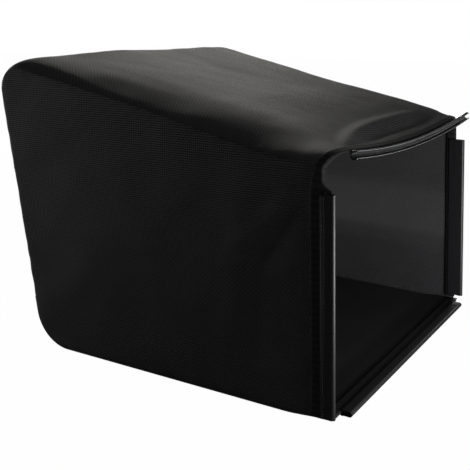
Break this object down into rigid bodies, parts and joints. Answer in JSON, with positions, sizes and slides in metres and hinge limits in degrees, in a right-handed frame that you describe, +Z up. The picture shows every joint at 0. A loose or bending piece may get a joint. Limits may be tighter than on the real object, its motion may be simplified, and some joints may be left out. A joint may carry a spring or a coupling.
{
  "type": "mower grass collection bag",
  "caption": "Slack box-shaped fabric collection bag with an open mouth, round-cornered rear, sloping top and plastic channels that clip to a wire frame.",
  "frame": {"origin": "middle of the bounding box's footprint, on the floor the bag rests on", "axes": "+X to the bag's right when looking into the mouth, +Y from the mouth towards the rear, +Z up"},
  "size_m": [0.4388, 0.4396, 0.3402],
  "materials": {
    "mesh_fabric": "coated woven polyester mesh, slightly shiny on its raised yarns",
    "coated_cloth": "smooth coated cloth, satin",
    "edge_tape": "woven binding tape, matt",
    "channel_plastic": "extruded black plastic, semi-gloss"
  },
  "bodies": {
    "root": {"top_rear_panel": "mesh_fabric", "floor_panel": "coated_cloth", "left_side_panel": "mesh_fabric", "right_side_panel": "mesh_fabric", "mouth_edge_tape": "edge_tape", "floor_edge_tape": "edge_tape", "left_seam_tape": "edge_tape", "right_seam_tape": "edge_tape", "rear_seam_tape": "edge_tape", "left_hook_channel": "channel_plastic", "right_hook_channel": "channel_plastic", "floor_hook_channel": "channel_plastic", "top_snap_channel": "channel_plastic"}
  },
  "joints": []
}
